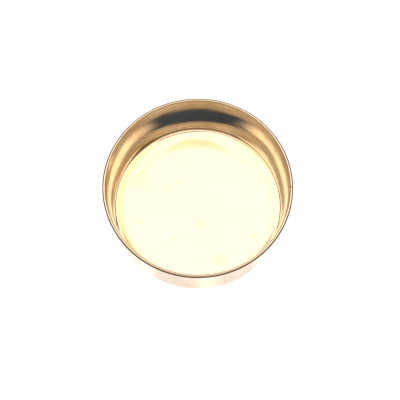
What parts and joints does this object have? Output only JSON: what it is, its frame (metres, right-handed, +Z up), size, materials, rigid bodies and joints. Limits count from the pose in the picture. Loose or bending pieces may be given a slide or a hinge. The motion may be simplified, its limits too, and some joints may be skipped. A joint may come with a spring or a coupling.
{
  "type": "coin cup",
  "caption": "Small open round cup of gold-toned sheet with a flat floor and a thin, slightly flared wall, which holds a short stack of small coins.",
  "frame": {"origin": "centre of the underside", "axes": "+Z up along the axis of the cup, +X towards the side with the seam of the wall"},
  "size_m": [0.0244, 0.0244, 0.0085],
  "materials": {
    "gold_floor": "pale gold-tone sheet, satin, faintly mottled",
    "gold_wall": "gold-tone sheet, burnished, with fine rolling lines and a lightly worn rim",
    "gold_solder": "gold-tone solder, softly polished and slightly pitted"
  },
  "bodies": {
    "root": {"base_plate": "gold_floor", "wall_band": "gold_wall", "wall_seam_solder": "gold_solder", "floor_solder_fillet": "gold_solder"}
  },
  "joints": []
}
